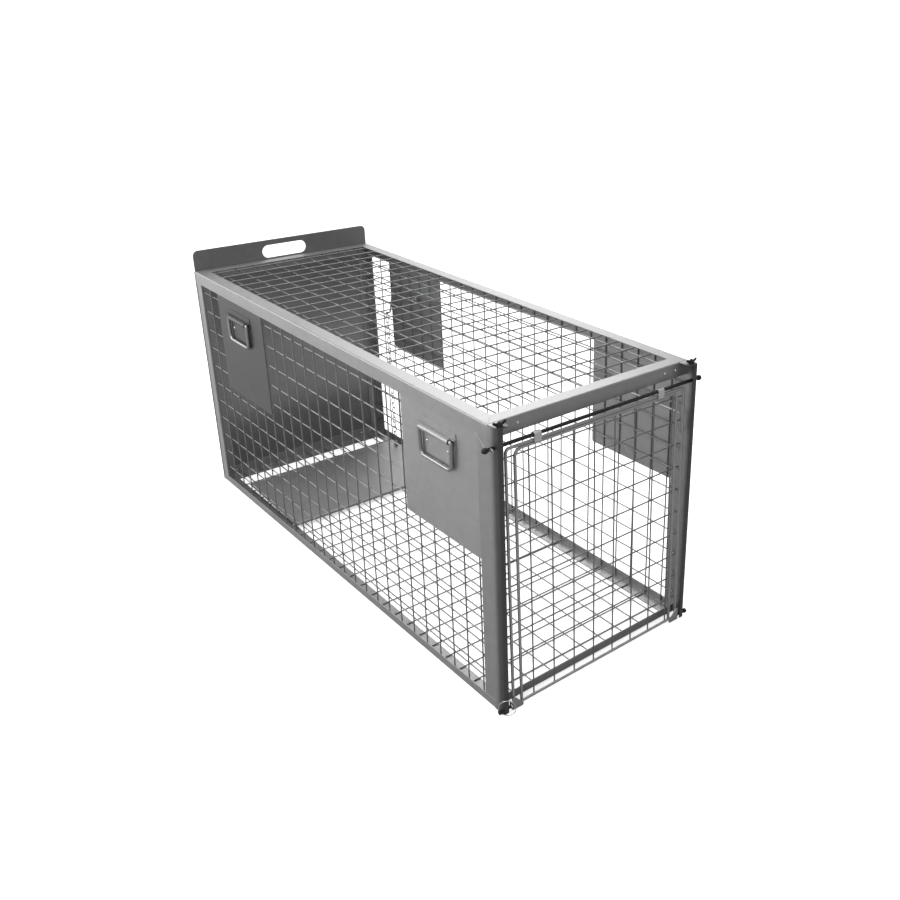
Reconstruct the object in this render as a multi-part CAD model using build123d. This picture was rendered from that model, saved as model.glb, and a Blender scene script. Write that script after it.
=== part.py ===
from build123d import *
import os
from math import atan2, cos, degrees, radians, sin

# A trap and transport cage for dogs: an angle-sheet frame closed with welded wire mesh, a
# mesh door that hangs at the front, a sheet door that lifts out at the rear, a treadle
# plate with its trip lever and pull chain, and four drop handles.
# Millimetres. X is across the cage, Y runs from the mesh door (front, -Y) to the sheet door
# (rear, +Y), Z is up. The origin is on the floor, in the middle of the whole cage's outline,
# from the lock pin's ring at the front to the rear door's guides.

# Driving dimensions
cage_width = 500.0
cage_length = 1270.0
cage_height = 600.0
centre_offset = 20.5  # from the origin to the middle of the frame's length
sheet = 2.0  # thickness of the frame sheet
flange = 30.0  # flange width of the top rails and the posts
sill = 20.0  # height of the bottom rails
rear_sill = 30.0  # height of the rear bottom rail
lip_depth = 28.0  # how far the front posts' guard lips stand out of the front
mesh_wire = 3.0  # diameter of the mesh wire
mesh_pitch = 50.0
door_mesh_pitch = 52.5
door_rod = 6.0  # diameter of the mesh door's frame rods
hinge_rod_diameter = 7.0
hinge_height = 561.0
rear_door_height = 652.0
rear_door_sheet = 2.0
plate = 1.5  # thickness of the handle plates, brackets and treadle
plate_size = 250.0  # the handle plates are square
handle_width = 120.0
bail_rod = 8.0
treadle_width = 452.0
treadle_length = 278.0
treadle_lean = 1.7  # degrees that the treadle rises towards the rear at rest
lever_rod = 5.0
leg_drop = 55.0  # drop of the trip lever's rear leg
link_length = 19.6  # outside length of a chain link
link_width = 10.0
link_wire = 2.0
link_count = 26
running = 0.08  # radial running clearance of a pin in its hole

# Derived places
half_width = cage_width / 2
front = centre_offset - cage_length / 2
rear = centre_offset + cage_length / 2
inner = half_width - sheet  # inner face of the side flanges
top = cage_height
rail_bottom = top - flange
mesh_r = mesh_wire / 2
long_wire_x = inner - mesh_r - mesh_wire  # the side meshes' lengthwise wires
nose = front - lip_depth
lip_lean = 2.0  # how far the guard lip leans inward over its depth
curl = 10.5  # inward curl of the guard lip's front edge
cap_edge = half_width - 26.0
door_y = front - 15.0
door_half_width = 224.0
brace_half_width = 204.0
door_low = 9.0
door_top = hinge_height - 10.0
rod_end = 264.0
clip_x = -259.6
clip_r = 1.5
pin_y = front - 24.0
pin_z = 9.0
pin_r = 3.0
pin_tip = 229.2  # just outside the door's ears: the pins are shown drawn back
pin_head = 252.9
door_lean = degrees(atan2(door_y - pin_y, hinge_height - pin_z))  # brings the foot to the pins
ear_z = hinge_height - (hinge_height - pin_z) / cos(radians(door_lean))
ring_r = 16.8
ring_wire_r = 1.1
ring_lift = 35.0  # degrees that the ring's centre sits above its hole
ring_across = Vector(0.75, -0.66, 0).normalized()
wing_x = 238.0
wing_y = front - 19.0
wing_bolt_r = 3.0
rear_door_half_width = 249.0
rear_door_gap = 0.4
rear_door_foot = 2.0
front_plate_y = front + 156.0
rear_plate_y = front + 1015.0
plate_face = -inner - plate  # outer face of the left handle plates
bracket_face = plate_face - plate
handle_axis_z = 530.0
roll_r = 6.3
bail_x = bracket_face - bail_rod / 2 - 1.0
bail_drop = 57.0
treadle_axis_y = front + 880.0
treadle_axis_z = 13.0
pivot_r = 2.5
roll_out = 4.2  # outside radius of the treadle's rolled front edge
lug_hole_r = 3.5
chain_x = 215.0
chain_y = front + 1118.0
lug_hole_z = 27.8  # once the treadle leans
eye_wire_r = lever_rod / 2 - 0.1
stud_r = 4.0
eye_r = stud_r + running + eye_wire_r
lever_x = 236.0
lever_z = 487.0
lever_pivot_y = front + 1000.0
lever_pivot_z = lever_z + eye_r
peg_z = lever_z - leg_drop


def block(x0, x1, y0, y1, z0, z1):
    """A box between two corners."""
    return Solid.make_box(x1 - x0, y1 - y0, z1 - z0, Plane((x0, y0, z0)))


def rod_x(x0, x1, y, z, r):
    """A round rod along X."""
    return Solid.make_cylinder(r, x1 - x0, Plane((x0, y, z), z_dir=(1, 0, 0)))


def rod_y(x, y0, y1, z, r):
    """A round rod along Y."""
    return Solid.make_cylinder(r, y1 - y0, Plane((x, y0, z), z_dir=(0, 1, 0)))


def rod_z(x, y, z0, z1, r):
    """A round rod along Z."""
    return Solid.make_cylinder(r, z1 - z0, Plane((x, y, z0)))


def bent_rod(points, r, bend):
    """A round rod bent along a line of points, with one bend radius at every corner."""
    path = FilletPolyline(*points, radius=bend)
    return sweep(Plane(path @ 0, z_dir=path % 0) * Circle(r), path=path)


def hoop(centre, axis, r, wire_r):
    """A closed round wire about an axis."""
    return Solid.make_torus(r, wire_r, Plane(centre, z_dir=axis))


def dome(centre, axis, r):
    """A rivet head: a low dome on a flat seat, standing along its axis."""
    height = 0.55 * r
    ball_r = (r * r + height * height) / (2 * height)
    seat = Plane(centre, z_dir=axis)
    ball = Solid.make_sphere(ball_r, seat.offset(height - ball_r), -90, 90, 360)
    return ball & Solid.make_cylinder(r, height, seat)


def mirrored(shape):
    """The same shape on the other side of the cage."""
    return shape.mirror(Plane.YZ)


def save(name, *shapes):
    """Write one named piece, or a group of separate alike ones, as a STEP file."""
    solids = [solid for shape in shapes for solid in shape.solids()]
    export_step(Compound(children=solids), f"parts/{name}.step")


def save_pair(name, *shapes):
    """Write a left-hand piece and its right-hand mirror image."""
    save(f"{name}_left", *shapes)
    save(f"{name}_right", *[mirrored(shape) for shape in shapes])


# Frame: rails and posts of folded sheet


def top_side_rail():
    """Left top rail: an upright flange outside and a flat flange on top."""
    upright = block(-half_width, -inner, front, rear, rail_bottom, top - sheet)
    flat = block(-half_width, -half_width + flange, front, rear, top - sheet, top)
    return upright + flat


def top_end_rail(outer_y, inward):
    """Top rail across an end; inward is +1 at the front and -1 at the rear."""
    face = sorted((outer_y, outer_y + inward * sheet))
    deep = sorted((outer_y, outer_y + inward * flange))
    upright = block(-inner, inner, *face, rail_bottom, top - sheet)
    flat = block(-half_width + flange, half_width - flange, *deep, top - sheet, top)
    return upright + flat


def bottom_side_rail():
    """Left bottom rail, with its flat flange under the floor mesh."""
    upright = block(-half_width, -inner, front, rear, sheet, sill)
    flat = block(-half_width, -half_width + flange, front, rear, 0, sheet)
    return upright + flat


def bottom_end_rail(outer_y, inward, height, depth):
    """Bottom rail across an end."""
    face = sorted((outer_y, outer_y + inward * sheet))
    deep = sorted((outer_y, outer_y + inward * depth))
    upright = block(-inner, inner, *face, sheet, height)
    flat = block(-half_width + flange, half_width - flange, *deep, 0, sheet)
    return upright + flat


def guard_lip():
    """Lip that stands out beside the door and leans inward, its front edge curled."""
    lean = lip_lean / lip_depth
    skin = sheet * (1 + lean * lean) ** 0.5
    tip = lip_lean - half_width
    outline = Polyline(
        (-half_width, front),
        (tip, nose),
        (tip + curl, nose),
        (tip + curl, nose + sheet),
        (tip - lean * sheet + skin, nose + sheet),
        (skin - half_width, front),
        close=True,
    )
    section = make_face(outline)
    outer_corner = section.vertices().sort_by_distance((tip, nose, 0))[0]
    section = fillet(outer_corner, 3.0)
    return extrude(section, top - sheet)


def front_post():
    """Left front post: side flange, guard lip, and the cap that carries the wing nut's
    bolt. The lip is pierced for the hinge rod and the lock pin."""
    side = block(-half_width, -inner, front, front + flange, sill, rail_bottom)
    cap = block(-half_width + 1, -cap_edge, nose, front, top - sheet, top)
    post = side + guard_lip() + cap
    hinge_hole = rod_x(-half_width, -cap_edge, door_y, hinge_height, hinge_rod_diameter / 2)
    pin_hole = rod_x(-half_width, -cap_edge, pin_y, pin_z, pin_r + running)
    bolt_hole = rod_z(-wing_x, wing_y, rail_bottom, top + sheet, wing_bolt_r)
    return post - hinge_hole - pin_hole - bolt_hole


def rear_post():
    """Left rear post: a plain angle between the rails."""
    side = block(-half_width, -inner, rear - flange, rear, sill, rail_bottom)
    back = block(-inner, -half_width + flange, rear - sheet, rear, rear_sill, rail_bottom)
    return side + back


# Mesh panels: crossed wires in two layers that touch


def side_mesh():
    """Left mesh: uprights against the frame, lengthwise wires inside them."""
    uprights = [
        rod_z(-inner + mesh_r, front + 40 + i * mesh_pitch, sheet + 1, top - sheet - 1, mesh_r)
        for i in range(25)
    ]
    lengthwise = [
        rod_y(-long_wire_x, front + 3, rear - 3, mesh_pitch * (i + 1), mesh_r)
        for i in range(11)
    ]
    return uprights + lengthwise


def flat_mesh(cross_z, long_z, first):
    """Top or floor mesh: cross wires on the frame and lengthwise wires inside them."""
    reach = inner - 2 * mesh_wire - 1
    crosswise = [rod_x(-reach, reach, first + i * mesh_pitch, cross_z, mesh_r) for i in range(25)]
    lengthwise = [
        rod_y(mesh_pitch * (i - 4), front + 3, rear - 3, long_z, mesh_r) for i in range(9)
    ]
    return crosswise + lengthwise


# Mesh door at the front, modelled upright and then hung with its foot forward


def hung(*shapes):
    """Shapes of the mesh door, turned about the hinge rod."""
    axis = Axis((0, door_y, hinge_height), (1, 0, 0))
    return [shape.rotate(axis, -door_lean) for shape in shapes]


def door_frame():
    """Outer rod of the mesh door: two uprights and the top bar."""
    corners = [
        (-door_half_width, door_y, door_low + 12),
        (-door_half_width, door_y, door_top),
        (door_half_width, door_y, door_top),
        (door_half_width, door_y, door_low + 12),
    ]
    return bent_rod(corners, door_rod / 2, 9.0)


def door_brace():
    """Inner rod of the mesh door, welded under the top bar and onto the bottom bar."""
    foot = door_low + door_rod / 2
    crown = door_top - door_rod
    corners = [
        (-brace_half_width, door_y, foot),
        (-brace_half_width, door_y, crown),
        (brace_half_width, door_y, crown),
        (brace_half_width, door_y, foot),
    ]
    return bent_rod(corners, door_rod / 2, 14.0)


def door_bottom_bar():
    """Bottom bar of the mesh door."""
    reach = brace_half_width + 8.0
    return rod_x(-reach, reach, door_y, door_low, door_rod / 2)


def door_mesh():
    """Mesh welded behind the door's rods."""
    upright_y = door_y + door_rod / 2 + mesh_r
    uprights = [
        rod_z(-170.0 + i * door_mesh_pitch, upright_y, door_low - 3, door_top, mesh_r)
        for i in range(8)
    ]
    reach = door_half_width + 2.0
    crosswise = [
        rod_x(-reach, reach, upright_y + mesh_wire, 58.0 + i * door_mesh_pitch, mesh_r)
        for i in range(10)
    ]
    return uprights + crosswise


def hinge_loop(x):
    """Sheet loop that hangs the door's top bar on the hinge rod."""
    x0 = x - 10.0
    x1 = x + 10.0
    barrel = rod_x(x0, x1, door_y, hinge_height, 5.6)
    strap = block(x0, x1, door_y - 5.2, door_y + 1.0, door_top - 2.5, hinge_height)
    bore = rod_x(x0, x1, door_y, hinge_height, hinge_rod_diameter / 2 + running)
    bar = rod_x(x0, x1, door_y, door_top, door_rod / 2)
    return barrel + strap - bore - bar


def corner_bracket():
    """Left bottom corner of the door: a triangular gusset in front of the rods and a
    pierced ear beside them that takes the lock pin."""
    ear_in = -door_half_width - door_rod / 2
    ear_out = ear_in - sheet
    face = door_y - door_rod / 2
    outline = Polyline(
        (ear_out, 2.0),
        (ear_in + 24.0, 2.0),
        (ear_in + 24.0, 8.0),
        (ear_in + 4.0, 30.0),
        (ear_out, 30.0),
        close=True,
    )
    gusset = extrude(Plane.XZ.offset(-face) * make_face(outline), sheet)
    ear = block(ear_out, ear_in, face, door_y + 5.5, 2.0, 17.0)
    hole = rod_x(ear_out, ear_in, door_y, ear_z, pin_r + 0.4)
    return gusset + ear - hole


# Hinge rod, lock pins and wing nuts


def hinge_rod():
    """Rod that carries the door, cross-drilled at the left end for its clip."""
    rod = rod_x(-rod_end - 6, rod_end + 6, door_y, hinge_height, hinge_rod_diameter / 2)
    return rod - rod_y(clip_x, door_y - 5, door_y + 5, hinge_height, clip_r)


def rod_clip():
    """Wire clip through the hinge rod: a round eye in front and two spread legs behind."""
    shank = rod_y(clip_x, door_y - 5, door_y + 6, hinge_height, clip_r)
    eye = hoop((clip_x, door_y - 9.6, hinge_height), (1, 0, 0), 4.4, clip_r)
    upper = bent_rod(
        [
            (clip_x, door_y + 4, hinge_height + 0.3),
            (clip_x, door_y + 10, hinge_height + 0.3),
            (clip_x, door_y + 36, hinge_height + 20),
        ],
        1.0,
        3.0,
    )
    lower = bent_rod(
        [
            (clip_x, door_y + 4.5, hinge_height - 0.3),
            (clip_x, door_y + 9, hinge_height - 0.3),
            (clip_x, door_y + 26, hinge_height - 14),
        ],
        1.0,
        2.5,
    )
    return shank + eye + upper + lower


def dome_nut():
    """Domed nut on the right end of the hinge rod."""
    seat = rod_x(rod_end, rod_end + 4, door_y, hinge_height, 5.6)
    ball = Solid.make_sphere(5.6, Plane((rod_end + 4, door_y, hinge_height)), -90, 90, 360)
    cap = ball & rod_x(rod_end + 4, rod_end + 10, door_y, hinge_height, 5.6)
    return seat + cap - rod_x(rod_end, rod_end + 6, door_y, hinge_height, hinge_rod_diameter / 2)


def ring_hole():
    """Where the split ring passes through the left lock pin's head."""
    return Vector(-pin_head - 3, pin_y, pin_z)


def ring_wire_direction():
    """Direction of the ring's wire where it passes through the pin's head."""
    lift = radians(ring_lift)
    return Vector(0, 0, 1) * cos(lift) - ring_across * sin(lift)


def lock_pin():
    """Right lock pin: a plain shank with a round head."""
    shank = rod_x(pin_tip, pin_head, pin_y, pin_z, pin_r)
    return shank + rod_x(pin_head, pin_head + 6, pin_y, pin_z, 5.0)


def lock_pin_left():
    """Left lock pin, with its head cross-drilled for the ring."""
    along = Plane(ring_hole(), z_dir=ring_wire_direction()).offset(-9)
    return mirrored(lock_pin()) - Solid.make_cylinder(ring_wire_r + 1.0, 18, along)


def pin_ring():
    """Split ring of the left lock pin, standing on the floor in front of the lip."""
    lift = radians(ring_lift)
    to_centre = ring_across * cos(lift) + Vector(0, 0, 1) * sin(lift)
    centre = ring_hole() + to_centre * ring_r
    return hoop(centre, ring_across.cross(Vector(0, 0, 1)), ring_r, ring_wire_r)


def wing_bolt():
    """Left bolt up through the post's cap, with its round head below."""
    head = rod_z(-wing_x, wing_y, top - sheet - 3, top - sheet, 5.5)
    return head + rod_z(-wing_x, wing_y, top - sheet, top + 9, wing_bolt_r)


def wing_nut():
    """Left wing nut on top of the cap."""
    hub = Solid.make_cone(5.8, 4.6, 7.0, Plane((-wing_x, wing_y, top)))
    outline = Polyline((3.5, 1.0), (10.0, 2.0), (14.5, 7.5), (11.5, 10.0), (3.5, 5.5), close=True)
    side = Plane((-wing_x, wing_y, top), x_dir=(1, 0, 0), z_dir=(0, -1, 0))
    ear = extrude(side.offset(-1.1) * make_face(outline), 2.2)
    other = ear.mirror(Plane((-wing_x, wing_y, top), z_dir=(1, 0, 0)))
    return hub + ear + other - rod_z(-wing_x, wing_y, top, top + 8, wing_bolt_r)


# Sheet door and its guides at the rear


def rear_door():
    """Lift-out sheet door with rounded top corners and a hand slot above the frame."""
    height = rear_door_height - rear_door_foot
    middle = rear_door_foot + height / 2
    outline = Pos(0, middle) * RectangleRounded(2 * rear_door_half_width, height, 14)
    square = Pos(0, rear_door_foot + 20) * Rectangle(2 * rear_door_half_width, 40)
    slot = Pos(0, top + 20.8) * SlotOverall(126, 34)
    outer = Plane.XZ.offset(-rear - rear_door_gap - rear_door_sheet)
    return extrude(outer * (outline + square - slot), rear_door_sheet)


def rear_guide():
    """Left guide of the rear door: a folded channel around the door's edge, closed at the
    foot so that the door stands on it."""
    edge = -rear_door_half_width - rear_door_gap
    lip_near = rear + 2 * rear_door_gap + rear_door_sheet
    far = lip_near + plate
    web = block(edge - plate, edge, rear, far, 0, top - sheet)
    lip = block(edge, edge + 11, lip_near, far, 0, top - sheet)
    foot = block(edge, edge + 11, rear, far, 0, rear_door_foot)
    return web + lip + foot


# Handles


def handle_plate(centre_y):
    """Left sheet infill that carries a handle."""
    half = plate_size / 2
    low = rail_bottom - plate_size
    return block(plate_face, -inner, centre_y - half, centre_y + half, low, rail_bottom)


def handle_bracket(centre_y):
    """Left pressed bracket: a flat back with a rolled edge that holds the bail's ends."""
    y0 = centre_y - handle_width / 2
    y1 = centre_y + handle_width / 2
    z = handle_axis_z
    back = block(bracket_face, plate_face, y0, y1, z - 9, z + 18)
    pad = block(bracket_face, plate_face, y0 + 10, y1 - 10, z - 56, z - 9)
    roll = rod_y(bail_x, y0, y1, z, roll_r)
    web = block(bail_x, bracket_face, y0, y1, z + bail_rod / 2 + 0.5, z + roll_r)
    shape = back + pad + roll + web - rod_y(bail_x, y0, y1, z, bail_rod / 2 + running)
    for start in (y0, y1 - 13):
        shape = shape - block(bail_x - 9, bracket_face, start, start + 13, z - 9, z + 5.3)
    return shape


def bail(centre_y):
    """Left drop bail: two stub ends in the roll, two legs and a rounded grip bar."""
    leg = handle_width / 2 - 6.5
    waist_z = handle_axis_z - bail_drop / 2
    low = handle_axis_z - bail_drop
    grip = [
        (bail_x, centre_y - leg + 1.5, waist_z),
        (bail_x, centre_y - leg + 3, low),
        (bail_x, centre_y + leg - 3, low),
        (bail_x, centre_y + leg - 1.5, waist_z),
    ]
    shape = bent_rod(grip, bail_rod / 2, 12.0)
    for side in (-1, 1):
        end = [
            (bail_x, centre_y + side * 30, handle_axis_z),
            (bail_x, centre_y + side * leg, handle_axis_z),
            (bail_x, centre_y + side * (leg - 1.5), waist_z),
        ]
        shape = shape + bent_rod(end, bail_rod / 2, 4.6)
    return shape


def handle_rivets(centre_y):
    """Two rivets of one left handle bracket."""
    return [
        dome((bracket_face, centre_y + dy, handle_axis_z - 26), (-1, 0, 0), 3.0)
        for dy in (-34.0, 34.0)
    ]


# Treadle, trip lever and pull chain


def treadle_plate():
    """Treadle: a thin leaning plate, its front edge rolled around the pivot rod, with
    shallow turned-down sides and a pierced lug for the chain."""
    half = treadle_width / 2
    low = treadle_axis_z - roll_out
    y0 = treadle_axis_y
    y1 = y0 + treadle_length
    deck = block(-half, half, y0, y1, low, low + plate)
    roll = rod_x(-half, half, y0, treadle_axis_z, roll_out)
    bore = rod_x(-half, half, y0, treadle_axis_z, pivot_r + running)
    lug = block(chain_x - 1, chain_x + 1, chain_y - 8, chain_y + 8, low + plate, low + 18)
    foot = block(chain_x + 1, chain_x + 9, chain_y - 8, chain_y + 8, low + plate, low + 2 * plate)
    hole = rod_x(chain_x - 1, chain_x + 1, chain_y, low + 12, lug_hole_r)
    shape = deck + roll + lug + foot - bore - hole
    return shape.rotate(Axis((0, y0, treadle_axis_z), (1, 0, 0)), treadle_lean)


def treadle_rod():
    """Rod that the treadle turns on."""
    reach = treadle_width / 2 + 9
    return rod_x(-reach, reach, treadle_axis_y, treadle_axis_z, pivot_r)


def treadle_bracket():
    """Left bracket of the treadle's rod, standing on the bottom rail."""
    near = treadle_width / 2 + 3
    y0 = treadle_axis_y - 7
    y1 = treadle_axis_y + 7
    leg = block(-near - sheet, -near, y0, y1, sheet, 20)
    foot = block(-near - 11, -near - sheet, y0, y1, sheet, 2 * sheet)
    return leg + foot - rod_x(-near - sheet, -near, treadle_axis_y, treadle_axis_z, pivot_r)


def trip_lever():
    """Trip lever: one long wire with a hooked front end, an eye around its stud, and a
    rear leg whose turned-in end carries the chain."""
    points = [
        (chain_x - 4, chain_y, peg_z),
        (chain_x + 11, chain_y, peg_z),
        (lever_x, chain_y, lever_z),
        (lever_x, front, lever_z),
        (lever_x, front, lever_z - 44),
    ]
    wire = bent_rod(points, lever_rod / 2, 6.0)
    return wire + hoop((lever_x, lever_pivot_y, lever_pivot_z), (1, 0, 0), eye_r, eye_wire_r)


def lever_stud():
    """Stud welded inside the rear right handle plate, with a shoulder beside the lever."""
    shoulder = rod_x(lever_x + 2.7, inner, lever_pivot_y, lever_pivot_z, stud_r + 0.8)
    return shoulder + rod_x(lever_x - 9, lever_x + 2.7, lever_pivot_y, lever_pivot_z, stud_r)


def lever_nut():
    """Nut that keeps the lever on its stud."""
    face = Plane((lever_x - 7.6, lever_pivot_y, lever_pivot_z), z_dir=(1, 0, 0))
    body = extrude(face * RegularPolygon(6.6, 6), 4.6)
    return body - rod_x(lever_x - 9, lever_x, lever_pivot_y, lever_pivot_z, stud_r)


def chain_link(z, across):
    """One chain link standing upright; across is the direction of its width."""
    wide = (link_width - link_wire) / 2
    tall = (link_length - link_wire) / 2
    middle = Vector(chain_x, chain_y, z)
    side = Vector(*across) * wide
    rise = Vector(0, 0, tall)
    corners = [middle - side - rise, middle + side - rise, middle + side + rise, middle - side + rise]
    path = FilletPolyline(*corners, radius=wide - 0.1, close=True)
    return sweep(Plane(origin=path @ 0, z_dir=path % 0) * Circle(link_wire / 2), path=path)


def pull_chain():
    """Chain from the lever's leg to the treadle's lug, alternate links turned across."""
    half = link_length / 2
    highest = peg_z + lever_rod / 2 + 0.25 + link_wire - half
    lowest = lug_hole_z + lug_hole_r - link_wire - 0.15 + half
    pitch = (highest - lowest) / (link_count - 1)
    return [
        chain_link(highest - i * pitch, (0, 1, 0) if i % 2 == 0 else (1, 0, 0))
        for i in range(link_count)
    ]


os.makedirs("parts", exist_ok=True)

save_pair("top_rail", top_side_rail())
save("top_rail_front", top_end_rail(front, 1))
save("top_rail_rear", top_end_rail(rear, -1))
save_pair("bottom_rail", bottom_side_rail())
save("bottom_rail_front", bottom_end_rail(front, 1, sill, 14))
save("bottom_rail_rear", bottom_end_rail(rear, -1, rear_sill, flange))
save_pair("front_post", front_post())
save_pair("rear_post", rear_post())
rivet_rows = (-214.0, -184.0, 184.0, 214.0)
save("front_rail_rivets", *[dome((x, front, 585), (0, -1, 0), 3.2) for x in rivet_rows])
save("rear_sill_rivets", *[dome((x, rear - sheet, 16), (0, -1, 0), 3.2) for x in rivet_rows])

save_pair("side_mesh", *side_mesh())
save("top_mesh", *flat_mesh(top - sheet - mesh_r, top - sheet - mesh_r - mesh_wire, front + 28))
save("floor_mesh", *flat_mesh(sheet + mesh_r, sheet + mesh_r + mesh_wire, front + 40))

save("door_frame", *hung(door_frame()))
save("door_brace", *hung(door_brace()))
save("door_bottom_bar", *hung(door_bottom_bar()))
save("door_mesh", *hung(*door_mesh()))
save("door_hinge_loops", *hung(hinge_loop(-155), hinge_loop(155)))
save("door_corner_brackets", *hung(corner_bracket(), mirrored(corner_bracket())))
save("hinge_rod", hinge_rod())
save("hinge_rod_nuts", dome_nut(), mirrored(dome_nut()))
save("hinge_rod_clip", rod_clip())
save("lock_pin_left", lock_pin_left())
save("lock_pin_right", lock_pin())
save("lock_pin_ring", pin_ring())
save("wing_bolts", wing_bolt(), mirrored(wing_bolt()))
save("wing_nuts", wing_nut(), mirrored(wing_nut()))

save("rear_door", rear_door())
save_pair("rear_guide", rear_guide())

for place, centre_y in (("front", front_plate_y), ("rear", rear_plate_y)):
    save_pair(f"handle_plate_{place}", handle_plate(centre_y))
    save_pair(f"handle_bracket_{place}", handle_bracket(centre_y))
    save_pair(f"handle_bail_{place}", bail(centre_y))
    save_pair(f"handle_rivets_{place}", *handle_rivets(centre_y))

save("treadle_plate", treadle_plate())
save("treadle_rod", treadle_rod())
save("treadle_brackets", treadle_bracket(), mirrored(treadle_bracket()))
save("trip_lever", trip_lever())
save("lever_stud", lever_stud())
save("lever_nut", lever_nut())
save("pull_chain", *pull_chain())
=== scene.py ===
from math import acos, atan2, cos, pi, radians, sin, tan

import bmesh
import bpy
from mathutils import Matrix, Vector


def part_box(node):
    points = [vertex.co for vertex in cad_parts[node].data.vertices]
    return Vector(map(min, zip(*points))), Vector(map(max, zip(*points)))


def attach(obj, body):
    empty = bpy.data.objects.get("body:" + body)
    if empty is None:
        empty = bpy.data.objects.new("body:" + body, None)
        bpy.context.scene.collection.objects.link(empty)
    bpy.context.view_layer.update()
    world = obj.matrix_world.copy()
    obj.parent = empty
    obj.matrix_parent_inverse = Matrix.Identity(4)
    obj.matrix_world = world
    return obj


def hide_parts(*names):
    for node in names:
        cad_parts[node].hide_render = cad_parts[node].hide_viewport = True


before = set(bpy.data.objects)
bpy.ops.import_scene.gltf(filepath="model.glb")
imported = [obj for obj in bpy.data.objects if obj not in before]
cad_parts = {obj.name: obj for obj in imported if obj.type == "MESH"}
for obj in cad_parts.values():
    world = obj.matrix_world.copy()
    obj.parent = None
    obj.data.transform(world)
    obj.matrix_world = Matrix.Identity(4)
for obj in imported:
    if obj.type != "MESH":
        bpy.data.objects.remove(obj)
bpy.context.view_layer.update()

# A trap and transport cage: folded satin sheet, welded wire mesh, a hinged mesh door, a
# lift-out sheet door, a treadle with its trip lever, and drop handles. Metres throughout.

mm = 0.001

# Places read from the frame
rail_low, rail_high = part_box("top_rail_left")
half_width = -rail_low.x
front = rail_low.y
rear = rail_high.y
top = rail_high.z
rail_bottom = rail_low.z
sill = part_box("bottom_rail_left")[1].z
rear_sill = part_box("bottom_rail_rear")[1].z
flange = rail_high.x - rail_low.x
sheet = 2 * mm
inner = half_width - sheet
hinge_low, hinge_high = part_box("hinge_rod")
hinge_y = (hinge_low.y + hinge_high.y) / 2
hinge_z = (hinge_low.z + hinge_high.z) / 2
hinge_r = (hinge_high.z - hinge_low.z) / 2
pin_low, pin_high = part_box("lock_pin_right")
pin_y = (pin_low.y + pin_high.y) / 2
pin_z = (pin_low.z + pin_high.z) / 2
mesh_r = 1.5 * mm
mesh_pitch = 50 * mm
door_pitch = 52.5 * mm
bead_r = 1.35 * mm
first_wire = 40 * mm
first_top_wire = 28 * mm
plate = 1.5 * mm


# Paths


def bend(points, radius, closed=False, steps=6):
    """A line of points with every corner rounded to one radius."""
    points = [Vector(p) for p in points]
    count = len(points)
    path = []
    for i, corner in enumerate(points):
        if not closed and i in (0, count - 1):
            path.append(corner)
            continue
        back = (points[i - 1] - corner).normalized()
        ahead = (points[(i + 1) % count] - corner).normalized()
        half_turn = acos(max(-1.0, min(1.0, back.dot(ahead)))) / 2
        reach = radius / tan(half_turn)
        centre = corner + (back + ahead).normalized() * (radius / sin(half_turn))
        start = corner + back * reach - centre
        end = corner + ahead * reach - centre
        sweep = start.angle(end)
        for k in range(steps + 1):
            t = k / steps
            a = sin((1 - t) * sweep) / sin(sweep)
            b = sin(t * sweep) / sin(sweep)
            path.append(centre + start * a + end * b)
    return path


def circle(centre, u, v, radius, start=0.0, turn=2 * pi, steps=48, rise=Vector((0, 0, 0))):
    """Points along a circle or helix in the plane of u and v."""
    return [
        centre
        + u * (radius * cos(start + turn * k / steps))
        + v * (radius * sin(start + turn * k / steps))
        + rise * (k / steps)
        for k in range(steps + 1)
    ]


X = Vector((1, 0, 0))
Y = Vector((0, 1, 0))
Z = Vector((0, 0, 1))


# Shapes


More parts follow.
